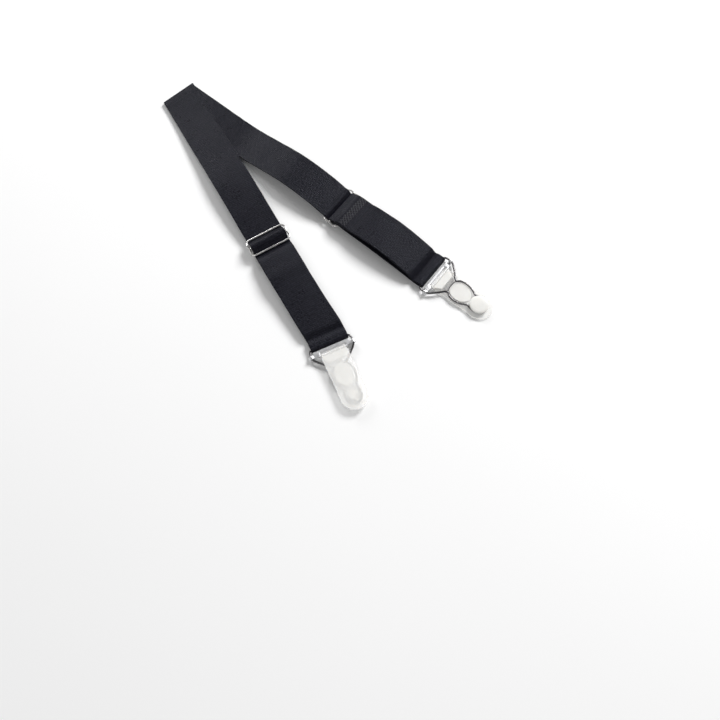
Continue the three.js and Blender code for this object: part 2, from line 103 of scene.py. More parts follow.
GRIP_WIRE = 0.65
GRIP_HALF = 13.95
END_FOLD_RADIUS = 1.55
END_FOLD_FLAT = 6.0
GRIP_HEIGHT = 2.15
PINCH_AT, PINCH_HALF = 16.35, 4.75
PINCH_BAR, PINCH_BOW = 0.34, 0.8
RING_AT, RING_HALF = 22.6, 7.15
WAIST_AT, WAIST_HALF = 31.6, 4.4
KEYHOLE_AT, KEYHOLE_RADIUS = 37.4, 5.0
GRIP_CORNER, GRIP_SHOULDER = 2.6, 6.9
RING_START, RING_START_INSET = 2.2, 0.85
RING_REACH, RING_REACH_INSET = 4.2, 0.6
WAIST_BEND, WAIST_RISE, WAIST_FALL = 1.9, 0.9, 0.35
CORNER_CUT, DIAGONAL = 0.29, 0.707

PLATE_LIFT = 0.85
PLATE_THICKNESS = 0.5
PLATE_NEAR, PLATE_FAR = 2.7, 4.7
PLATE_FLAT, CURL_START, CURL_RADIUS = 11.4, 12.4, 1.2
LINK_GAP, LINK_REACH = 0.3, 2.1
RAIL_AT = 6.6
RAIL_RADIUS = 0.5
SLEEVE_INNER, SLEEVE_OUTER, SLEEVE_HALF = 0.65, 1.25, 8.3
TONGUE_UNDER, TONGUE_TOP = 0.95, 2.1
TONGUE_HALF, TONGUE_WAIST = 8.8, 8.3
TONGUE_TIP, TONGUE_END = 47.0, 9.0
HEAD_RADIUS, NECK_RADIUS = 6.2, 3.1
PAD_START, PAD_END = 15.2, 30.6
RIDGE_FROM, RIDGE_PITCH, RIDGE_COUNT = 12.75, 0.5, 5
RIDGE_HALF, RIDGE_NARROWING, RIDGE_SLANT = 5.3, 2.3, 0.2
TONGUE_START = RAIL_AT + 0.95
SHOULDER_STEP, TONGUE_SHOULDER = 0.3, 1.8
TONGUE_NARROWEST = RING_AT + 4
FLAP_END, FLAP_HALF = 12.5, 5.7
PAD_CLEARANCE, HEAD_CLEARANCE = 0.7, 0.3
# The head's dome: how far in from its rim, and how far out from its flat side.
HEAD_DOME = [(0.3, 0.0), (0.0, 0.3), (0.35, 0.72), (1.5, 1.0), (3.2, 1.15)]
HEAD_HEIGHT, HEAD_CENTRE = 1.2, 0.4
VOXEL, QUICK_VOXEL = 0.17, 0.24

# The strap's run: straight stretch beside a slider, cupping, sideways drift and ripple.
WEB_STRAIGHT = 1.5
CUP, DRIFT = 0.12, 0.35
RIPPLES = [(0.05, 5.3, 1), (0.03, 1.9, 2)]
MITRE_LENGTH, SKEW_LENGTH = 18.0, 25.0
BEND_FROM, BEND_MARGIN, SEWN_MARGIN = 45.0, 8.0, 2.0

FLAT_WEB = -UNDER_BAR
FLAT_TURN_IN = FLAT_WEB - LAYER_STEP
FLAT_BACK = FLAT_TURN_IN - LAYER_STEP

# Each leg's lie: heights above the surface at [share of the way, height].
LIES = {
    "left": dict(
        face=1, turn=-1, slider_at=135.0, frame_height=5.3, start=1.9,
        arch=[(0.2, 2.4), (0.42, 4.4), (0.62, 6.4), (0.8, 5.8)],
        front=[(0.16, 6.2), (0.35, 6.6), (0.62, 5.6), (0.84, 4.7)],
        back=[(0.3, 0.75), (0.6, 0.6), (0.8, 0.55)],
    ),
    "right": dict(
        face=-1, turn=1, slider_at=148.0, frame_height=3.4, start=0.5,
        arch=[(0.2, 0.5), (0.3, 0.5), (0.42, 1.0), (0.56, 4.6), (0.72, 8.6), (0.87, 7.4)],
        front=[(0.2, 4.4), (0.45, 4.2), (0.7, 2.6), (0.86, 1.1)],
        back=[(0.3, 8.6), (0.5, 8.9), (0.7, 7.4), (0.88, 4.9)],
    ),
}

# ---- Shader building ------------------------------------------------------------------


class Value:
    """A shader socket that takes part in sums and products like a number."""

    def __init__(self, finish, socket):
        self.finish = finish
        self.socket = socket

    def math(self, operation, *others):
        inputs = {index: other for index, other in enumerate((self,) + others)}
        return self.finish.node("ShaderNodeMath", {"operation": operation}, inputs)

    def __add__(self, other):
        return self.math("ADD", other)

    def __mul__(self, other):
        return self.math("MULTIPLY", other)

    __radd__ = __add__
    __rmul__ = __mul__

    def wave(self, pitch):
        """Swings between 0 and 1 once every pitch."""
        return (self * (2 * math.pi / pitch)).math("COSINE") * 0.5 + 0.5

    def between(self, low, high):
        """0 below low, 1 above high, and smooth between them."""
        return self.finish.node(
            "ShaderNodeMapRange",
            {"interpolation_type": "SMOOTHSTEP"},
            {"Value": self, "From Min": low, "From Max": high},
        )


class Finish:
    """One material, built node by node round a Principled shader."""

    def __init__(self, name, **constants):
        self.material = bpy.data.materials.new(name)
        self.material.use_nodes = True
        self.tree = self.material.node_tree
        self.shader = self.tree.nodes["Principled BSDF"]
        for socket, value in constants.items():
            self.shader.inputs[socket.replace("_", " ")].default_value = value

    def node(self, kind, settings=None, inputs=None, output=0):
        made = self.tree.nodes.new(kind)
        for key, value in (settings or {}).items():
            setattr(made, key, value)
        for key, value in (inputs or {}).items():
            if isinstance(value, Value):
                self.tree.links.new(value.socket, made.inputs[key])
            else:
                made.inputs[key].default_value = value
        return Value(self, made.outputs[output])

    def weave_axes(self):
        """Millimetres across the strap and along it."""
        uv = self.node("ShaderNodeUVMap", {"uv_map": "Weave"})
        across = self.node("ShaderNodeSeparateXYZ", inputs={"Vector": uv}, output=0)
        along = self.node("ShaderNodeSeparateXYZ", inputs={"Vector": uv}, output=1)
        return uv, across, along

    def place(self, scale=(1.0, 1.0, 1.0)):
        """Object coordinates in metres, stretched by scale."""
        at = self.node("ShaderNodeTexCoord", output="Object")
        return self.node("ShaderNodeMapping", inputs={"Vector": at, "Scale": scale})

    def stretched(self, vector, scale):
        return self.node("ShaderNodeMapping", inputs={"Vector": vector, "Scale": scale})

    def noise(self, vector, scale, detail=3.0, roughness=0.5):
        return self.node(
            "ShaderNodeTexNoise",
            inputs={"Vector": vector, "Scale": scale, "Detail": detail, "Roughness": roughness},
        )

    def mixed(self, factor, low, high):
        """A colour between low and high."""
        made = self.tree.nodes.new("ShaderNodeMix")
        made.data_type = "RGBA"
        self.tree.links.new(factor.socket, made.inputs["Factor"])
        colours = [s for s in made.inputs if s.type == "RGBA"]
        for socket, value in zip(colours, (low, high)):
            if isinstance(value, Value):
                self.tree.links.new(value.socket, socket)
            else:
                socket.default_value = (*value, 1.0)
        return Value(self, [s for s in made.outputs if s.type == "RGBA"][0])

    def feed(self, **values):
        for socket, value in values.items():
            self.tree.links.new(value.socket, self.shader.inputs[socket.replace("_", " ")])

    def bump(self, height, distance, strength=1.0):
        normal = self.node(
            "ShaderNodeBump",
            inputs={"Height": height, "Distance": distance, "Strength": strength},
        )
        self.feed(Normal=normal)


def satin_elastic():
    """Near-black satin elastic with lengthwise ribs and fine cross threads."""
    made = Finish("satin_elastic", Specular_IOR_Level=0.15)
    made.shader.inputs["Specular Tint"].default_value = (0.86, 0.88, 1.0, 1.0)
    uv, across, along = made.weave_axes()
    rib = across.wave(RIB_PITCH)
    shift = across.wave(2 * RIB_PITCH) * 0.5
    cross = (along + shift).wave(WEFT_PITCH)
    fleck = made.noise(made.stretched(uv, (1.0, 0.6, 1.0)), 1.1, 2.0).between(0.4, 0.66)
    cloud = made.noise(uv, 0.09, 2.0)
    light = rib * 0.15 + cross * 0.35 + cross * fleck * 0.5
    colour = made.mixed(light, (0.0008, 0.0008, 0.0018), (0.019, 0.019, 0.028))
    dusted = made.mixed(cloud.between(0.45, 0.75) * 0.2, colour, (0.017, 0.017, 0.024))
    made.feed(Base_Color=dusted, Roughness=0.25 + cloud * 0.06 + fleck * 0.22)
    made.bump(cross * 0.5 + fleck * 0.5, 0.00016, 1.0)
    return made.material


def stitch_thread():
    """Twisted polyester sewing thread."""
    made = Finish("stitch_thread", Roughness=0.42, Specular_IOR_Level=0.5, Sheen_Weight=0.3)
    at = made.place()
    twist = made.node(
        "ShaderNodeTexWave", {"bands_direction": "DIAGONAL"},
        {"Vector": at, "Scale": 900.0, "Distortion": 1.0},
    )
    colour = made.mixed(twist, (0.008, 0.008, 0.011), (0.04, 0.04, 0.048))
    made.feed(Base_Color=colour)
    made.bump(twist, 0.00004)
    return made.material


def plated_wire(name, bright, dark, roughness):
    """Nickel-plated wire with drawn lines, worn spots and a little tarnish."""
    made = Finish(name, Metallic=1.0)
    at = made.place()
    cloud = made.noise(at, 260.0, 3.0)
    scratch = made.noise(made.place((1.0, 7.0, 1.0)), 2600.0, 2.0)
    colour = made.mixed(cloud.between(0.35, 0.7), bright, dark)
    made.feed(
        Base_Color=colour,
        Roughness=roughness + cloud * 0.1 + scratch * 0.06,
    )
    made.bump(scratch * 0.7 + cloud * 0.3, 0.00002, 0.5)
    return made.material


def pressed_tinplate():
    """Pressed sheet steel with a bright plated face and rolling lines."""
    made = Finish("pressed_tinplate", Metallic=1.0)
    at = made.place()
    lines = made.noise(made.place((1.0, 14.0, 1.0)), 900.0, 2.0)
    cloud = made.noise(at, 320.0, 3.0)
    colour = made.mixed(cloud.between(0.35, 0.75), (0.86, 0.86, 0.87), (0.66, 0.66, 0.68))
    made.feed(Base_Color=colour, Roughness=0.3 + lines * 0.12 + cloud * 0.06)
    made.bump(lines * 0.5 + cloud * 0.5, 0.00001, 0.4)
    return made.material


def milky_moulding(name, alpha, painted_glow, light, dark):
    """Milky soft plastic that lets some light through, with a painted glow from its emission in
    place of light scattered inside it.
    """
    made = Finish(
        name, Alpha=alpha, IOR=1.45,
        Subsurface_Weight=0.35, Subsurface_Scale=0.001, Specular_IOR_Level=0.3,
        Emission_Strength=painted_glow,
    )
    made.shader.inputs["Subsurface Radius"].default_value = (1.0, 0.95, 0.9)
    at = made.place()
    cloud = made.noise(at, 120.0, 3.0)
    haze = made.noise(at, 900.0, 4.0, 0.6)
    colour = made.mixed(cloud.between(0.3, 0.7), light, dark)
    made.feed(Base_Color=colour, Roughness=0.24 + haze * 0.16)
    made.bump(haze * 0.6 + cloud * 0.4, 0.00004, 0.5)
    return made.material


def shaded_ridges():
    """Thin plastic with fine moulded ridges, painted grey as the shade under the wire."""
    made = Finish("shaded_ridges", Specular_IOR_Level=0.4)
    at = made.place()
    cloud = made.noise(at, 900.0, 3.0)
    made.feed(
        Base_Color=made.mixed(cloud.between(0.35, 0.65), (0.3, 0.3, 0.3), (0.5, 0.49, 0.48)),
        Roughness=0.3 + cloud * 0.2,
    )
    made.bump(cloud, 0.00005, 0.6)
    return made.material


def pale_table():
    """A plain white table top."""
    made = Finish("pale_table", Specular_IOR_Level=0.1)
    at = made.place()
    cloud = made.noise(at, 6.0, 2.0)
    made.feed(
        Base_Color=made.mixed(cloud, (0.93, 0.93, 0.93), (0.95, 0.95, 0.95)),
        Roughness=0.75 + cloud * 0.1,
    )
    return made.material


ELASTIC = satin_elastic()
THREAD = stitch_thread()
BRIGHT_NICKEL = plated_wire("bright_nickel_wire", (0.86, 0.85, 0.83), (0.68, 0.67, 0.66), 0.2)
DARK_NICKEL = plated_wire("dark_nickel_wire", (0.17, 0.165, 0.168), (0.085, 0.083, 0.086), 0.2)
TINPLATE = pressed_tinplate()
# The thin strip's copy carries a painted glow (emission) in place of light scattered through the
# plastic.
MILKY = milky_moulding(
    "milky_moulding", alpha=0.4, painted_glow=0.08,
    light=(0.99, 0.982, 0.955), dark=(0.97, 0.962, 0.935),
)
# A second copy of the same plastic for the flap, pad and button: its darker colour and lack of glow
# are painted shade.
MILKY_THICK_SHADED = milky_moulding(
    "milky_moulding_thick_painted_shade", alpha=0.78, painted_glow=0.0,
    light=(0.93, 0.92, 0.89), dark=(0.88, 0.87, 0.84),
)
PAINTED_SHADE_RIDGES = shaded_ridges()
TABLE = pale_table()

# ---- Mesh building --------------------------------------------------------------------


def solid(name, points, faces, finish, uvs=None):
    """A smooth-shaded closed mesh object in metres, faces outwards."""
    mesh = bpy.data.meshes.new(name)
    mesh.from_pydata([tuple(p) for p in points], [], faces)
    mesh.materials.append(finish)
    if uvs is not None:
        layer = mesh.uv_layers.new(name="Weave")
        corner = np.zeros(len(mesh.loops), np.int32)
        mesh.loops.foreach_get("vertex_index", corner)
        layer.data.foreach_set("uv", np.asarray(uvs, np.float32)[corner].ravel())
    shell = bmesh.new()
    shell.from_mesh(mesh)
    bmesh.ops.recalc_face_normals(shell, faces=shell.faces)
    shell.to_mesh(mesh)
    shell.free()
    mesh.shade_smooth()
    made = bpy.data.objects.new(name, mesh)
    bpy.context.scene.collection.objects.link(made)
    return made


def sharpen(made, degrees=40):
    """Keeps edges sharper than the angle crisp."""
    made.data.set_sharp_from_angle(angle=math.radians(degrees))


def ring_faces(rows, columns, closed=False):
    """Quads between consecutive rings of the given number of points."""
    faces = []
    for row in range(rows if closed else rows - 1):
        a = row * columns
        b = ((row + 1) % rows) * columns
        for i in range(columns):
            j = (i + 1) % columns
            faces.append((a + i, a + j, b + j, b + i))
    return faces


def end_caps(rows, columns):
    """Faces that close the first and the last ring."""
    return [tuple(range(columns - 1, -1, -1)), tuple(range((rows - 1) * columns, rows * columns))]


def smooth_run(knots, spacing):
    """An evenly spaced run of points on a smooth curve through the knots."""
    knots = np.asarray(knots, float)
    fine = []
    for i in range(len(knots) - 1):
        before = knots[max(i - 1, 0)]
        here, there = knots[i], knots[i + 1]
        beyond = knots[min(i + 2, len(knots) - 1)]
        enter, leave = (there - before) / 2, (beyond - here) / 2
        t = np.linspace(0, 1, 40, endpoint=False)[:, None]
        fine.append(
            (2 * here - 2 * there + enter + leave) * t**3
            + (-3 * here + 3 * there - 2 * enter - leave) * t**2
            + enter * t + here
        )
    fine.append(knots[-1:])
    return evenly(np.vstack(fine), spacing)


def evenly(points, spacing):
    """The same line with its points an even distance apart."""
    lengths = np.concatenate([[0], np.cumsum(np.linalg.norm(np.diff(points, axis=0), axis=1))])
    count = max(int(round(lengths[-1] / spacing)), 2) + 1
    stations = np.linspace(0, lengths[-1], count)
    columns_of = [np.interp(stations, lengths, points[:, k]) for k in range(points.shape[1])]
    return np.column_stack(columns_of)


def arc(x, z, radius, start, end, divisions):
    """Points on an arc, its angles in degrees."""
    angles = np.radians(np.linspace(start, end, divisions + 1))
    return np.column_stack([x + radius * np.cos(angles), z + radius * np.sin(angles)])


def chain(*runs):
    """Joins runs end to end, leaving out doubled points."""
    points = [runs[0]]
    for run in runs[1:]:
        run = np.asarray(run, float)
        if np.linalg.norm(run[0] - points[-1][-1]) < 1e-3:
            run = run[1:]
        points.append(run)
    return np.vstack(points)


class Leg:
    """A leg's own axes: s from the fold, v across it, w on the adjuster's side."""

    def __init__(self, side):
        self.side = side
        self.__dict__.update(LIES[side])
        fold = JOINTS["fold_hinge"]["pos_m"]
        self.origin = np.array([fold[0], fold[1], fold[2] - FOLD_HEIGHT * MM])
        self.along = np.array(JOINTS[f"{side}_slider_slide"]["axis"], float)
        self.up = np.array([0.0, 0.0, self.face])
        self.across = np.cross(self.up, self.along)
        grip = np.array(JOINTS[f"{side}_grip_hinge"]["pos_m"])
        self.grip_at = float((grip - self.origin) @ self.along) / MM
        self.grip_across = -self.face * np.array(JOINTS[f"{side}_grip_hinge"]["axis"], float)
        self.grip_along = np.cross(self.grip_across, self.up)
        sideways = float(self.grip_across @ self.across)
        self.grip_skew = float(self.grip_across @ self.along) / sideways
        low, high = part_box(f"{side}_slider_bar")
        bar = (np.array(low) + np.array(high)) / 2
        self.slider_at = float((bar - self.origin) @ self.along) / MM
        self.span = self.grip_at - self.slider_at

    def place(self, points, base=(0.0, 0.0)):
        """World metres of (s, v, w) points, measured from base (s, height)."""
        points = np.asarray(points, float)
        s, v, w = points[..., 0:1], points[..., 1:2], points[..., 2:3]
        lift = w + self.face * base[1]
        return self.origin + MM * ((s + base[0]) * self.along + v * self.across + lift * self.up)

    def at_slider(self, points):
        return self.place(points, (self.slider_at, self.frame_height))

    def lift(self, height):
        """A height above the surface as w from the slider's middle."""
        return self.face * (height - self.frame_height)

    def at_grip(self, points):
        """World metres of (s, v, w) points in the grip's own axes, which may lean."""
        points = np.asarray(points, float)
        s, v, w = points[..., 0:1], points[..., 1:2], points[..., 2:3]
        bar = self.place((self.grip_at, 0, self.face * GRIP_HEIGHT))
        return bar + MM * (s * self.grip_along + v * self.grip_across + w * self.up)


LEGS = {side: Leg(side) for side in LIES}

# ---- Strap ----------------------------------------------------------------------------

DIP_DEPTH, DIP_AT, DIP_REACH = 1.35, -6.3, 2.3
SWELL_HEIGHT, SWELL_AT, SWELL_REACH = 0.8, 27.0, 6.0


def raised(leg, path, height, at, reach):
    """The path with a smooth swell of the given height and reach."""
    path = np.array(path, float)
    path[:, 1] += leg.face * height * np.exp(-(((path[:, 0] - at) / reach) ** 2))
    return path


def settled(leg, path, to_bar):
    """The upper of two layers sinks a little just before it rises over the grip's bar."""
    return raised(leg, path, -DIP_DEPTH, to_bar + DIP_AT, DIP_REACH)


def columns():
    """Positions across the strap: four to a rib, closer on the rounded edges."""
    inner = HALF_STRAP - EDGE_ROUND
    ribs = np.arange(-inner, inner + 1e-6, RIB_PITCH / 4)
    edge = HALF_STRAP - EDGE_ROUND * np.array([0.6, 0.3, 0.1, 0.0])
    return np.concatenate([-edge[::-1], ribs, edge])


ACROSS = columns()


def half_thickness():
    """Half the strap's thickness at each column, ribbed, with rounded edges."""
    over = np.clip((np.abs(ACROSS) - (HALF_STRAP - EDGE_ROUND)) / EDGE_ROUND, 0, 1)
    rounded = THICKNESS / 2 * np.sqrt(np.clip(1 - over**2, 0.0009, 1))
    furrow = RIB_DEPTH * (0.5 - 0.5 * np.cos(2 * math.pi * ACROSS / RIB_PITCH))
    return rounded - furrow * (1 - over)


HALF_THICK = half_thickness()


def webbing(
    name, path, place, start_length=0.0, mitre=0.0, drift=0.0, cup=0.0, rank=0, far=(0.0, 0.0),
):
    """A stretch of strap along a path of (s, w) points, as a closed ribbed band.

    mitre skews its first end; far is the skew and the sideways shift of its last end.
    """
    path = np.asarray(path, float)
    ahead = np.gradient(path, axis=0)
    ahead /= np.linalg.norm(ahead, axis=1)[:, None]
    normal = np.column_stack([-ahead[:, 1], ahead[:, 0]])
    lengths = start_length + np.concatenate(
        [[0], np.cumsum(np.linalg.norm(np.diff(path, axis=0), axis=1))]
    )
    count, wide = len(path), len(ACROSS)
    settle = np.clip(1 - (lengths - lengths[0]) / MITRE_LENGTH, 0, 1)
    arrive = np.clip(1 - (lengths[-1] - lengths) / SKEW_LENGTH, 0, 1)
    arrive = arrive * arrive * (3 - 2 * arrive)
    ease = np.sin(math.pi * np.linspace(0, 1, count)) ** 2
    ripple = sum(size * np.sin(lengths / reach + turn * rank) for size, reach, turn in RIPPLES)
    grid = np.zeros((count, 2 * wide, 3))
    for sign, span in ((1, slice(0, wide)), (-1, slice(2 * wide - 1, wide - 1, -1))):
        part = np.zeros((count, wide, 3))
        thick = sign * HALF_THICK[None, :]
        bend = -cup * ease[:, None] * (ACROSS[None, :] / HALF_STRAP) ** 2
        part[:, :, 0] = path[:, 0:1] + normal[:, 0:1] * thick
        part[:, :, 0] += (mitre * settle + far[0] * arrive)[:, None] * ACROSS[None, :]
        shift = (drift * ease + ripple * ease + far[1] * arrive)[:, None]
        part[:, :, 1] = ACROSS[None, :] + shift
        part[:, :, 2] = path[:, 1:2] + normal[:, 1:2] * thick + bend
        grid[:, span] = part
    faces = ring_faces(count, 2 * wide)
    for base in (0, (count - 1) * 2 * wide):
        for i in range(wide - 1):
            j = 2 * wide - 1 - i
            faces.append((base + i, base + i + 1, base + j - 1, base + j))
    width_at = np.concatenate([ACROSS, ACROSS[::-1]])
    uvs = np.zeros((count, 2 * wide, 2))
    uvs[:, :, 0] = width_at[None, :]
    uvs[:, :, 1] = lengths[:, None]
    made = solid(name, place(grid).reshape(-1, 3), faces, ELASTIC, uvs.reshape(-1, 2))
    sharpen(made, 60)
    return made, float(lengths[-1])


def web_rise(u):
    """The web's height over the slider, from under its outer bar to over the centre bar."""
    return -UNDER_BAR + (OVER_BAR + UNDER_BAR) * (0.5 + 0.5 * np.cos(math.pi * u / SLIDER_PITCH))


def through_slider(start, end, spacing=0.55):
    u = np.linspace(start, end, 41)
    return evenly(np.column_stack([u, web_rise(u)]), spacing)


def below_web(start, end, divisions):
    """The line one layer below the web."""
    u = np.linspace(start, end, divisions + 1)
    slope = (web_rise(u + 0.01) - web_rise(u - 0.01)) / 0.02
    normal = np.column_stack([-slope, np.ones_like(slope)])
    normal /= np.linalg.norm(normal, axis=1)[:, None]
    return np.column_stack([u, web_rise(u)]) - LAYER_STEP * normal


def upper_web(leg):
    """From the fold to the top of the slider's centre bar."""
    side, face = leg.side, leg.face
    first = FOLD_FLAT / math.cos(V_ANGLE / 2)
    low = leg.frame_height + face * FLAT_WEB
    run = [(first, leg.start), (first + 6, leg.start)]
    run += [(share * leg.slider_at, z) for share, z in leg.arch]
    enters = leg.slider_at - SLIDER_PITCH
    run += [(enters - WEB_STRAIGHT, low), (enters, low)]
    laid = smooth_run([(s, face * z) for s, z in run], 1.0)
    risen = through_slider(-SLIDER_PITCH, 0) + np.array([leg.slider_at, face * leg.frame_height])
    mitre = leg.turn * face * math.tan(V_ANGLE / 2)
    made, length = webbing(
        f"{side}_upper_webbing", chain(laid, risen), leg.place,
        first, mitre, cup=CUP, rank=1 + face,
    )
    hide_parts(f"{side}_upper_web")
    tuple(leg.place((BEND_FROM, 0, 0)))
    tuple(leg.place((leg.slider_at - BEND_MARGIN, 0, 0)))
    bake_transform(made)
    return length


def front_layer(leg, start_length):
    """From the top of the centre bar to the end fold."""
    side = leg.side
    run = [(SLIDER_PITCH, FLAT_WEB), (SLIDER_PITCH + WEB_STRAIGHT, FLAT_WEB)]
    run += [(share * leg.span, leg.lift(z)) for share, z in leg.front]
    end = (leg.span - END_FOLD_FLAT, leg.lift(GRIP_HEIGHT + leg.face * END_FOLD_RADIUS))
    path = chain(through_slider(0, SLIDER_PITCH), smooth_run(run + [end], 1.0))
    if leg.face > 0:
        path = settled(leg, path, leg.span)
        path = raised(leg, path, SWELL_HEIGHT, SWELL_AT, SWELL_REACH)
    made, length = webbing(
        f"{side}_front_webbing", path, leg.at_slider, start_length,
        drift=DRIFT * leg.turn, cup=CUP, rank=3 + leg.face,
        far=(leg.grip_skew, END_FOLD_FLAT * leg.grip_skew),
    )
    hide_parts(f"{side}_front_layer")
    tuple(leg.at_slider((BEND_MARGIN, 0, 0)))
    tuple(leg.at_slider((leg.span - BEND_MARGIN, 0, 0)))
    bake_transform(made)
    return length


def end_fold(leg, start_length):
    """The turn round the grip's top bar."""
    side = leg.side
    path = chain(
        evenly(np.array([[-END_FOLD_FLAT, END_FOLD_RADIUS], [0, END_FOLD_RADIUS]]), 0.8),
        arc(0, 0, END_FOLD_RADIUS, 90, -90, 16),
        evenly(np.array([[0, -END_FOLD_RADIUS], [-END_FOLD_FLAT, -END_FOLD_RADIUS]]), 0.8),
    )
    on_top = path[:, 1] * leg.face > 0
    path[on_top] = settled(leg, path[on_top], 0.0)
    made, length = webbing(f"{side}_loop_fold", path, leg.at_grip, start_length)
    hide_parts(f"{side}_end_fold")
    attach(made, f"{side}_loop_end")
    return length


def back_layer(leg, start_length):
    """From the end fold back to the sewn end."""
    side = leg.side
    run = [(SEWN_LENGTH, FLAT_BACK)]
    run += [(share * leg.span, leg.lift(z)) for share, z in leg.back]
    run += [(leg.span - END_FOLD_FLAT, leg.lift(GRIP_HEIGHT - leg.face * END_FOLD_RADIUS))]
    path = smooth_run(run, 1.0)
    if leg.face < 0:
        path = settled(leg, path, leg.span)
    run_length = float(np.linalg.norm(np.diff(path, axis=0), axis=1).sum())
    reached = start_length + run_length
    made, _ = webbing(
        f"{side}_back_webbing", path, leg.at_slider, -reached,
        drift=-DRIFT * leg.turn, cup=CUP, rank=5 + leg.face,
        far=(leg.grip_skew, END_FOLD_FLAT * leg.grip_skew),
    )
    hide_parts(f"{side}_back_layer")
    tuple(leg.at_slider((SEWN_LENGTH + SEWN_MARGIN, 0, 0)))
    tuple(leg.at_slider((leg.span - BEND_MARGIN, 0, 0)))
    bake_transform(made)
    return reached


def sewn_end(leg, start_length):
    """Back under the slider, round its centre bar, and turned in."""
    side = leg.side
    under = smooth_run(
        [(SEWN_LENGTH, FLAT_BACK), (SLIDER_PITCH, FLAT_BACK),
         (SLIDER_PITCH / 2, (FLAT_BACK - LOOP_RADIUS) / 2), (0, -LOOP_RADIUS)], 0.9)
    turned = chain(below_web(0.9, SLIDER_PITCH, 10), np.array([[SEWN_TURN_IN, FLAT_TURN_IN]]))
    path = evenly(chain(under, arc(0, 0, LOOP_RADIUS, 270, 68, 20), turned), 0.7)
    made, length = webbing(f"{side}_sewn_webbing", path, leg.at_slider, start_length)
    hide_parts(f"{side}_sewn_end")
    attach(made, f"{side}_slider")
    return length


def apex_fold():
    """The flat fold where the two legs part."""
    crease = LEGS["left"].origin
    section = chain(
        evenly(np.array([[FOLD_FLAT, FOLD_RADIUS], [0, FOLD_RADIUS]]), 0.8),
        arc(0, 0, FOLD_RADIUS, 90, 270, 14),
        evenly(np.array([[0, -FOLD_RADIUS], [FOLD_FLAT, -FOLD_RADIUS]]), 0.8),
    )
    slope = math.tan(V_ANGLE / 2)

    def place(grid):
        inward, column, rise = grid[..., 0], grid[..., 1], grid[..., 2]
        lean = slope * np.clip(inward, 0, None) * np.sign(rise)
        x = column / math.cos(V_ANGLE / 2) - lean
        local = np.stack([x, -inward, rise + FOLD_HEIGHT], axis=-1)
        return crease + MM * local

    made, length = webbing("apex_fold_webbing", section, place)
    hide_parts("strap_fold")
    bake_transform(made)


# ---- Stitching ------------------------------------------------------------------------


def node_tree(name, sizes):
    """A geometry tree with a named input for each size; returns it and its input node."""
    tree = bpy.data.node_groups.new(name, "GeometryNodeTree")
    tree.interface.new_socket("Geometry", in_out="INPUT", socket_type="NodeSocketGeometry")
    for label, value in sizes.items():
        kind = "NodeSocketInt" if isinstance(value, int) else "NodeSocketFloat"
        tree.interface.new_socket(label, in_out="INPUT", socket_type=kind)
    tree.interface.new_socket("Geometry", in_out="OUTPUT", socket_type="NodeSocketGeometry")
    return tree, tree.nodes.new("NodeGroupInput")


def grown(name, tree, sizes, finish):
    """The tree's result as plain points and faces, in its own axes."""
    seed_mesh = bpy.data.meshes.new(name + "_seed")
    seed_mesh.materials.append(finish)
    holder = bpy.data.objects.new(name + "_seed", seed_mesh)
    bpy.context.scene.collection.objects.link(holder)
    modifier = holder.modifiers.new("grow", "NODES")
    modifier.node_group = tree
    for item in tree.interface.items_tree:
        if item.in_out == "INPUT" and item.name in sizes:
            modifier[item.identifier] = sizes[item.name]
    evaluated = holder.evaluated_get(bpy.context.evaluated_depsgraph_get())
    mesh = bpy.data.meshes.new_from_object(evaluated)
    holder.modifiers.clear()
    bpy.data.objects.remove(holder)
    points = np.array([v.co for v in mesh.vertices], float).reshape(-1, 3)
    faces = [tuple(p.vertices) for p in mesh.polygons]
    bpy.data.meshes.remove(mesh)
    return points, faces


HONEYCOMB = {
    "Rows": 4, "Columns": 21, "Row Pitch": 1.3, "Column Pitch": 1.1,
    "Stitch Length": 1.72, "Lean": 0.7, "Thread Radius": 0.17, "Rise": 0.16,
    "Unevenness": 0.06, "Seed": 11,
}


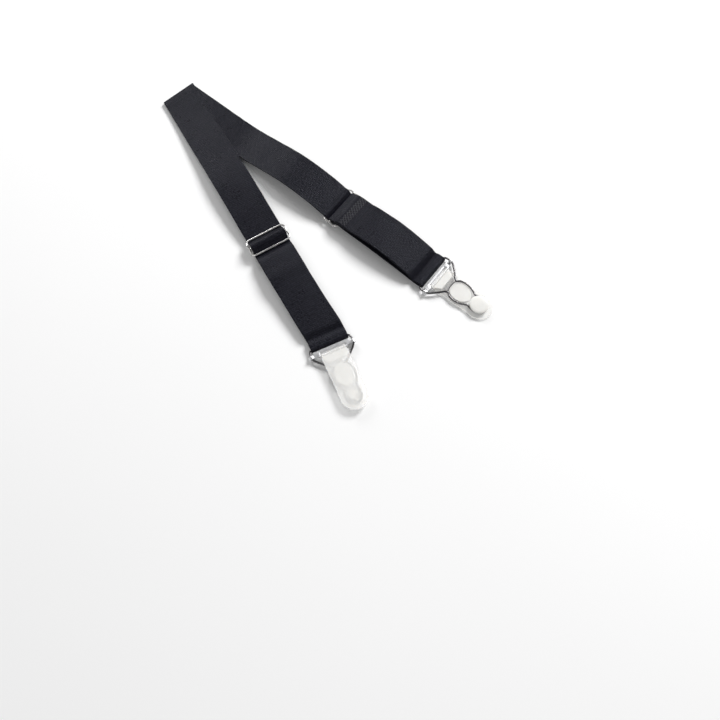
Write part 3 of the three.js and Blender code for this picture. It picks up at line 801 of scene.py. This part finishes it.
def honeycomb_tree(finish):
    """Short slanted stitches in rows, leaning by turns so that they close into diamonds."""
    tree, given = node_tree("honeycomb_stitching", HONEYCOMB)
    nodes, links = tree.nodes, tree.links

    def add(kind, settings=None, inputs=None):
        made = nodes.new(kind)
        for key, value in (settings or {}).items():
            setattr(made, key, value)
        for key, value in (inputs or {}).items():
            if isinstance(value, bpy.types.NodeSocket):
                links.new(value, made.inputs[key])
            else:
                made.inputs[key].default_value = value
        return made

    def sum_of(operation, first, second=0.0, third=0.0):
        inputs = {0: first, 1: second, 2: third}
        return add("ShaderNodeMath", {"operation": operation}, inputs).outputs[0]

    size = given.outputs
    deep = sum_of("MULTIPLY", size["Row Pitch"], sum_of("SUBTRACT", size["Rows"], 1.0))
    wide = sum_of("MULTIPLY", size["Column Pitch"], sum_of("SUBTRACT", size["Columns"], 1.0))
    grid = add("GeometryNodeMeshGrid", None, {
        "Size X": deep, "Size Y": wide, "Vertices X": size["Rows"], "Vertices Y": size["Columns"],
    })
    index = add("GeometryNodeInputIndex").outputs[0]
    row = sum_of("FLOOR", sum_of("DIVIDE", index, size["Columns"]))
    column = sum_of("SUBTRACT", index, sum_of("MULTIPLY", row, size["Columns"]))
    parity = sum_of("MODULO", sum_of("ADD", row, column), 2.0)
    side = sum_of("MULTIPLY_ADD", parity, 2.0, -1.0)
    wander = add("FunctionNodeRandomValue", {"data_type": "FLOAT"}, {"Seed": size["Seed"]})
    links.new(size["Unevenness"], wander.inputs[3])
    links.new(sum_of("MULTIPLY", size["Unevenness"], -1.0), wander.inputs[2])
    turn = sum_of("MULTIPLY_ADD", side, size["Lean"], wander.outputs[1])
    spin = add("ShaderNodeCombineXYZ", None, {"Z": turn}).outputs[0]
    half = sum_of("MULTIPLY", size["Stitch Length"], 0.5)
    dip = sum_of("MULTIPLY", size["Rise"], -1.0)
    bow = add("GeometryNodeCurveQuadraticBezier", None, {
        "Resolution": 6,
        "Start": add("ShaderNodeCombineXYZ", None, {
            "X": sum_of("MULTIPLY", half, -1.0), "Z": dip}).outputs[0],
        "Middle": add("ShaderNodeCombineXYZ", None, {"Z": size["Rise"]}).outputs[0],
        "End": add("ShaderNodeCombineXYZ", None, {"X": half, "Z": dip}).outputs[0],
    })
    thread = add("GeometryNodeCurvePrimitiveCircle", {"mode": "RADIUS"}, {
        "Resolution": 7, "Radius": size["Thread Radius"],
    })
    stitch = add("GeometryNodeCurveToMesh", None, {
        "Curve": bow.outputs[0], "Profile Curve": thread.outputs[0], "Fill Caps": True,
    })
    laid = add("GeometryNodeInstanceOnPoints", None, {
        "Points": grid.outputs[0], "Instance": stitch.outputs[0], "Rotation": spin,
    })
    real = add("GeometryNodeRealizeInstances", None, {0: laid.outputs[0]})
    inputs = {"Geometry": real.outputs[0], "Material": finish}
    coloured = add("GeometryNodeSetMaterial", None, inputs)
    links.new(coloured.outputs[0], nodes.new("NodeGroupOutput").inputs[0])
    return tree


def stitching(leg, tree):
    """Honeycomb stitches that hold down the turned-in end."""
    name = f"{leg.side}_honeycomb"
    points, faces = grown(name, tree, HONEYCOMB, THREAD)
    surface = FLAT_BACK - THICKNESS / 2 - STITCH_SINK
    laid = np.column_stack([points[:, 0] + STITCHING_AT, points[:, 1], surface - points[:, 2]])
    made = solid(name, leg.at_slider(laid), faces, THREAD)
    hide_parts(f"{leg.side}_stitching")
    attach(made, f"{leg.side}_slider")


# ---- Wires ----------------------------------------------------------------------------


def closed_outline(half, spacing=0.35):
    """Both halves of a flat outline, rounded smoothly through the given points."""
    half = np.asarray(half, float)
    knots = np.vstack([half, (half[1:-1] * [1, -1])[::-1]])
    count = len(knots)
    fine = []
    for i in range(count):
        p = [knots[(i + k) % count] for k in (-1, 0, 1, 2)]
        gaps = [max(np.linalg.norm(p[k + 1] - p[k]) ** 0.5, 1e-4) for k in range(3)]
        before, here, after = [(p[k + 1] - p[k]) / gaps[k] for k in range(3)]
        enter = (before - (p[2] - p[0]) / (gaps[0] + gaps[1]) + here) * gaps[1]
        leave = (here - (p[3] - p[1]) / (gaps[1] + gaps[2]) + after) * gaps[1]
        t = np.linspace(0, 1, 30, endpoint=False)[:, None]
        fine.append(
            (2 * p[1] - 2 * p[2] + enter + leave) * t**3
            + (-3 * p[1] + 3 * p[2] - 2 * enter - leave) * t**2
            + enter * t + p[1]
        )
    fine = np.vstack(fine + [fine[0][:1]])
    return evenly(fine, spacing)[:-1]


def wire_rings(outline, radius, sides=20):
    """Rings of points round a closed flat outline, with the outline in s and v."""
    ahead = np.roll(outline, -1, axis=0) - np.roll(outline, 1, axis=0)
    ahead /= np.linalg.norm(ahead, axis=1)[:, None]
    outward = np.column_stack([ahead[:, 1], -ahead[:, 0]])
    angle = np.linspace(0, 2 * math.pi, sides, endpoint=False)
    rings = np.zeros((len(outline), sides, 3))
    for k in range(2):
        rings[:, :, k] = outline[:, k:k + 1] + radius * np.cos(angle)[None, :] * outward[:, k:k + 1]
    rings[:, :, 2] = radius * np.sin(angle)[None, :]
    return rings.reshape(-1, 3), ring_faces(len(outline), sides, closed=True)


def round_bar(x, z, radius, half_length, bead=0.0, sides=20):
    """A straight bar across the strap with domed or beaded ends."""
    stations = [(0.0, 0.35), (0.05, 0.7), (0.15, 0.95), (0.3, 1.0)]
    ends = [(-half_length + d * radius * 2, r) for d, r in stations]
    if bead:
        beads = [(0.9, 1 + bead), (1.5, 1 + bead * 0.6), (2.2, 1.0)]
        ends += [(-half_length + inward, r) for inward, r in beads]
    profile = ends + [(-y, r) for y, r in reversed(ends)]
    angle = np.linspace(0, 2 * math.pi, sides, endpoint=False)
    points = [
        (x + radius * r * math.cos(a), y, z + radius * r * math.sin(a))
        for y, r in profile for a in angle
    ]
    rows = len(profile)
    return np.array(points), ring_faces(rows, sides) + end_caps(rows, sides)


def merged(*parts):
    """Several closed shells as one list of points and faces."""
    points, faces = [], []
    for more_points, more_faces in parts:
        base = sum(len(p) for p in points)
        points.append(np.asarray(more_points))
        faces += [tuple(base + i for i in face) for face in more_faces]
    return np.vstack(points), faces


def slider_hardware(leg):
    """The 8-shaped wire frame and the centre bar welded across its waist."""
    waist, lobe = SLIDER_WAIST, SLIDER_WAIST + SLIDER_LOBE
    straight = waist - SLIDER_CORNER
    quarter = [
        (0, waist), (0.25 * SLIDER_PITCH, waist + SLIDER_SWELL), (0.6 * SLIDER_PITCH, lobe),
        (0.93 * SLIDER_PITCH, waist - SLIDER_CORNER / 4), (SLIDER_PITCH, straight),
        (SLIDER_PITCH, straight / 2), (SLIDER_PITCH, 0),
    ]
    half = [(-x, y) for x, y in quarter[:0:-1]] + quarter
    points, faces = wire_rings(closed_outline(half), SLIDER_WIRE)
    wire = solid(f"{leg.side}_slider_wire", leg.at_slider(points), faces, BRIGHT_NICKEL)
    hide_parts(f"{leg.side}_slider_frame")
    points, faces = round_bar(0, 0, SLIDER_BAR, waist + BAR_OVERRUN, bead=BAR_BEAD)
    bar = solid(f"{leg.side}_slider_crossbar", leg.at_slider(points), faces, BRIGHT_NICKEL)
    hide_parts(f"{leg.side}_slider_bar")
    for made in (wire, bar):
        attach(made, f"{leg.side}_slider")


def pinch_bar():
    """The thin bar that closes the ring across the pinch, bowed towards the strap."""
    rows, sides = 25, 12
    stations = np.linspace(-1, 1, rows)
    middle = np.column_stack([
        PINCH_AT - PINCH_BOW * (1 - stations**2), stations * PINCH_HALF, np.full(rows, -0.1)])
    angle = np.linspace(0, 2 * math.pi, sides, endpoint=False)
    rings = np.array([
        [(u + PINCH_BAR * math.cos(a), v, w + PINCH_BAR * math.sin(a)) for a in angle]
        for u, v, w in middle
    ])
    return rings.reshape(-1, 3), ring_faces(rows, sides) + end_caps(rows, sides)


def grip_wire(leg):
    """The bent wire: top bar, shoulders, pinch, ring and keyhole end."""
    w, corner, shoulder = GRIP_HALF, GRIP_CORNER, GRIP_SHOULDER
    straight = w - corner
    half = [
        (0, 0), (0, straight / 2), (0, straight),
        (CORNER_CUT * corner, w - CORNER_CUT * corner), (corner, w),
        (shoulder - 0.9, w), (shoulder + 0.7, w - 0.9),
        ((shoulder + PINCH_AT) / 2, (w + PINCH_HALF) / 2 - 0.1),
        (PINCH_AT - 0.8, PINCH_HALF + 0.45), (PINCH_AT + 0.5, PINCH_HALF + 0.2),
        (PINCH_AT + RING_START, RING_HALF - RING_START_INSET), (RING_AT, RING_HALF),
        (RING_AT + RING_REACH, RING_HALF - RING_REACH_INSET),
        (WAIST_AT - WAIST_BEND, WAIST_HALF + WAIST_RISE), (WAIST_AT, WAIST_HALF),
        (WAIST_AT + WAIST_BEND, WAIST_HALF + WAIST_FALL), (KEYHOLE_AT, KEYHOLE_RADIUS),
        (KEYHOLE_AT + DIAGONAL * KEYHOLE_RADIUS, DIAGONAL * KEYHOLE_RADIUS),
        (KEYHOLE_AT + KEYHOLE_RADIUS, 0),
    ]
    points, faces = merged(wire_rings(closed_outline(half), GRIP_WIRE), pinch_bar())
    made = solid(f"{leg.side}_wire_grip", leg.at_grip(points), faces, DARK_NICKEL)
    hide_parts(f"{leg.side}_grip_wire")
    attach(made, f"{leg.side}_grip")


def plate_edges(y):
    """Near and far edges of the cross plate at a distance y from the middle."""
    link = SLEEVE_HALF + LINK_GAP
    far = PLATE_FAR + LINK_REACH * np.clip((np.abs(y) - link + 0.5) / 0.7, 0, 1)
    far = far - 0.4 * np.clip((np.abs(y) - 10.2) / 0.5, 0, 1)
    near = PLATE_NEAR + 1.4 * np.clip((np.abs(y) - 11.6) / 1.0, 0, 1)
    return near, far


def cross_plate(leg):
    """The pressed plate, curled round both shoulders of the wire, with the tongue's rail."""
    arc_in = arc(GRIP_HALF, 0, CURL_RADIUS, 110, -170, 30)
    bend = [(PLATE_FLAT, PLATE_LIFT), (CURL_START, PLATE_LIFT + 0.05), tuple(arc_in[0])]
    half = chain(
        evenly(np.array([[0, PLATE_LIFT], [PLATE_FLAT, PLATE_LIFT]]), 0.4),
        smooth_run(bend, 0.3),
        arc_in,
    )
    path = chain((half * [-1, 1])[::-1], half)
    ahead = np.gradient(path, axis=0)
    ahead /= np.linalg.norm(ahead, axis=1)[:, None]
    normal = np.column_stack([-ahead[:, 1], ahead[:, 0]])
    steps = np.linalg.norm(np.diff(path, axis=0), axis=1)
    arc_length = np.concatenate([[0], np.cumsum(steps)])
    from_middle = np.abs(arc_length - arc_length[-1] / 2)
    near, far = plate_edges(from_middle)
    r = PLATE_THICKNESS / 2
    angle = np.linspace(-math.pi / 2, math.pi / 2, 7)
    rings = []
    for i in range(len(path)):
        ring = [(far[i] - r + r * math.cos(a), r * math.sin(a)) for a in angle]
        ring += [(near[i] + r - r * math.cos(a), r * math.sin(a)) for a in angle[::-1]]
        rings.append([
            (u, path[i, 0] + normal[i, 0] * t, path[i, 1] + normal[i, 1] * t) for u, t in ring
        ])
    rings = np.array(rings)
    rows, around = rings.shape[:2]
    faces = ring_faces(rows, around) + end_caps(rows, around)
    rail = round_bar(RAIL_AT, PLATE_LIFT, RAIL_RADIUS, SLEEVE_HALF + 1.3)
    points, faces = merged((rings.reshape(-1, 3), faces), rail)
    made = solid(f"{leg.side}_pressed_plate", leg.at_grip(points), faces, TINPLATE)
    sharpen(made)
    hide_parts(f"{leg.side}_cross_plate")
    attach(made, f"{leg.side}_grip")


# ---- Tongue ---------------------------------------------------------------------------


def slab(outline, low, high):
    """A flat closed slab over an outline of (s, v) points."""
    count = len(outline)
    points = [(u, v, low) for u, v in outline] + [(u, v, high) for u, v in outline]
    faces = [tuple(range(count - 1, -1, -1)), tuple(range(count, 2 * count))]
    faces += [(i, (i + 1) % count, count + (i + 1) % count, count + i) for i in range(count)]
    return np.array(points), faces


def both_sides(half):
    """A whole outline from its half with v >= 0, first and last points on the middle line."""
    half = np.asarray(half, float)
    return np.vstack([half, (half[1:-1] * [1, -1])[::-1]])


def sleeve():
    """A tube round the rail, open for the rail to turn in."""
    angle = np.linspace(0, 2 * math.pi, 48, endpoint=False)
    loop = [(SLEEVE_OUTER, -SLEEVE_HALF), (SLEEVE_OUTER, SLEEVE_HALF),
            (SLEEVE_INNER, SLEEVE_HALF), (SLEEVE_INNER, -SLEEVE_HALF)]
    rings = np.array([
        [(RAIL_AT + r * math.cos(a), y, PLATE_LIFT + r * math.sin(a)) for r, y in loop]
        for a in angle
    ])
    return rings.reshape(-1, 3), ring_faces(len(angle), len(loop), closed=True)


def turned(profile, at, sides=64):
    """A round solid about the button's axis from (radius, height) points."""
    angle = np.linspace(0, 2 * math.pi, sides, endpoint=False)
    rings = np.array([
        [(at + r * math.cos(a), r * math.sin(a), z) for a in angle] for r, z in profile
    ])
    rows = len(profile)
    return rings.reshape(-1, 3), ring_faces(rows, sides) + end_caps(rows, sides)


def tongue_outline():
    """The strip's outline: square shoulders, slightly waisted sides and a round tip."""
    start, end_at = TONGUE_START, TONGUE_TIP - TONGUE_END
    half = [(start, 0), (start, SLEEVE_HALF), (start + SHOULDER_STEP, SLEEVE_HALF)]
    bow = np.linspace(0, 1, 24)[:, None]
    first = np.array([start + TONGUE_SHOULDER, TONGUE_HALF])
    waist = np.array([TONGUE_NARROWEST, TONGUE_WAIST])
    last = np.array([end_at, TONGUE_HALF])
    side = (1 - bow) ** 2 * first + 2 * bow * (1 - bow) * waist + bow**2 * last
    half += [tuple(p) for p in side]
    for a in np.linspace(math.pi / 2, 0, 24)[1:]:
        half.append((end_at + TONGUE_END * math.cos(a), TONGUE_HALF * math.sin(a)))
    return both_sides(half)


def tongue(leg):
    """The moulding, as two skins: strip with sleeve, and flap with oval pad and button."""
    side, start = leg.side, TONGUE_START
    flap = both_sides([
        (start, 0), (start, SLEEVE_HALF), (start + SHOULDER_STEP, SLEEVE_HALF),
        (FLAP_END, FLAP_HALF), (FLAP_END, 0),
    ])
    pad_half = RING_HALF - GRIP_WIRE - PAD_CLEARANCE
    middle, reach = (PAD_START + PAD_END) / 2, (PAD_END - PAD_START) / 2
    pad = [(middle + reach * math.cos(a), pad_half * math.sin(a))
           for a in np.linspace(0, 2 * math.pi, 64, endpoint=False)]
    head = -GRIP_WIRE - HEAD_CLEARANCE
    button = [(NECK_RADIUS, TONGUE_UNDER + 0.2), (NECK_RADIUS, head - 0.05)]
    button += [(HEAD_RADIUS - inward, head - outward) for inward, outward in HEAD_DOME]
    button += [(HEAD_CENTRE, head - HEAD_HEIGHT)]
    strip = merged(slab(tongue_outline(), TONGUE_UNDER, TONGUE_TOP), sleeve())
    thick = merged(
        slab(flap, PLATE_LIFT - SLEEVE_OUTER + 0.05, TONGUE_UNDER + 0.1),
        slab(pad, TONGUE_UNDER - 0.6, TONGUE_UNDER + 0.1),
        turned(button, KEYHOLE_AT),
    )
    for name, node, finish, (points, faces) in (
        ("tongue_moulding", "tongue", MILKY, strip),
        ("button_moulding", "button", MILKY_THICK_SHADED, thick),
    ):
        made = solid(f"{side}_{name}", leg.at_grip(points), faces, finish)
        melt(made, finish)
        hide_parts(f"{side}_{node}")
        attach(made, f"{side}_tongue")


def ridged_recess(leg):
    """Fine ridges on the strip between the flap and the pinch, on the wire's side, carrying painted
    grey shade.
    """
    shells = []
    for k in range(RIDGE_COUNT):
        near = RIDGE_FROM + RIDGE_PITCH * k
        share = k / (RIDGE_COUNT - 1)
        half = RIDGE_HALF - RIDGE_NARROWING * share**2
        for width, low, high in ((0.75 * RIDGE_PITCH, -0.14, 0.1), (RIDGE_PITCH, -0.04, 0.08)):
            far, cut = near + width, half - RIDGE_SLANT
            outline = [(near, -half), (near, half), (far, cut), (far, -cut)]
            shells.append(slab(outline, TONGUE_UNDER + low, TONGUE_UNDER + high))
    points, faces = merged(*shells)
    made = solid(f"{leg.side}_tongue_ridges", leg.at_grip(points), faces, PAINTED_SHADE_RIDGES)
    sharpen(made)
    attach(made, f"{leg.side}_tongue")


def melt(made, finish):
    """Joins overlapping shells into one skin and rounds its edges a little."""
    remesh = made.modifiers.new("join", "REMESH")
    remesh.mode = "VOXEL"
    remesh.voxel_size = VOXEL * MM
    soften = made.modifiers.new("soften", "SMOOTH")
    soften.factor = 0.6
    soften.iterations = 5
    evaluated = made.evaluated_get(bpy.context.evaluated_depsgraph_get())
    skin = bpy.data.meshes.new_from_object(evaluated)
    made.modifiers.clear()
    made.data = skin
    skin.materials.clear()
    skin.materials.append(finish)
    skin.shade_smooth()


# ---- Making ---------------------------------------------------------------------------

apex_fold()
tree = honeycomb_tree(THREAD)
for leg in LEGS.values():
    slider_hardware(leg)
    grip_wire(leg)
    cross_plate(leg)
    tongue(leg)
# The ridges carry painted shade, so they are built on the right grip only.
ridged_recess(LEGS["right"])
for leg in LEGS.values():
    reached = upper_web(leg)
    reached = front_layer(leg, reached)
    reached = end_fold(leg, reached)
    reached = back_layer(leg, reached)
    sewn_end(leg, reached)
    stitching(leg, tree)

# ---- Table, light and camera ----------------------------------------------------------


CAMERA_AT, CAMERA_TARGET, LENS = (-0.1187, -0.2016, 0.4139), (-0.0313, -0.1008, 0.0), 35.0
LIGHT_TARGET = (-0.02, -0.05, 0.0)
# Each light's place in metres, its width in metres and its power in watts.
LIGHTS = {
    "key": ((1.5, 0.16, 1.15), 0.8, 41.0),
    "back": ((0.3, 1.85, 0.85), 0.9, 16.0),
    "fill": ((-1.4, -1.0, 1.8), 1.6, 7.0),
}
SKY_STRENGTH = 0.22
TABLE_REACH = 3.0


def table_top():
    mesh = bpy.data.meshes.new("floor")
    corners = [(-1, -1), (1, -1), (1, 1), (-1, 1)]
    points = [(x * TABLE_REACH, y * TABLE_REACH, 0) for x, y in corners]
    mesh.from_pydata(points, [], [(0, 1, 2, 3)])
    mesh.materials.append(TABLE)
    made = bpy.data.objects.new("floor", mesh)
    bpy.context.scene.collection.objects.link(made)
    made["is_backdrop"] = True


def aim(made, place, target):
    made.location = place
    made.rotation_euler = (Vector(target) - Vector(place)).to_track_quat("-Z", "Y").to_euler()
    bpy.context.scene.collection.objects.link(made)


def soft_light(name, place, size, energy):
    lamp = bpy.data.lights.new(name, "AREA")
    lamp.shape = "DISK"
    lamp.size = size
    lamp.energy = energy
    aim(bpy.data.objects.new(name, lamp), place, LIGHT_TARGET)


def camera():
    lens = bpy.data.cameras.new("camera")
    lens.lens = LENS
    lens.sensor_width = 36.0
    lens.clip_start = 0.01
    made = bpy.data.objects.new("camera", lens)
    aim(made, CAMERA_AT, CAMERA_TARGET)
    bpy.context.scene.camera = made


def surroundings():
    world = bpy.data.worlds.new("studio")
    world.use_nodes = True
    sky = world.node_tree.nodes["Background"]
    sky.inputs["Color"].default_value = (1.0, 1.0, 1.0, 1.0)
    sky.inputs["Strength"].default_value = SKY_STRENGTH
    bpy.context.scene.world = world
    bpy.context.scene.view_settings.view_transform = "Standard"


table_top()
camera()
surroundings()
for name, (place, size, energy) in LIGHTS.items():
    soft_light(name, place, size, energy)

low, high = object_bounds()
size = {"cad": [list(corner) for corner in CAD_BOX], "visual": [list(low), list(high)]}
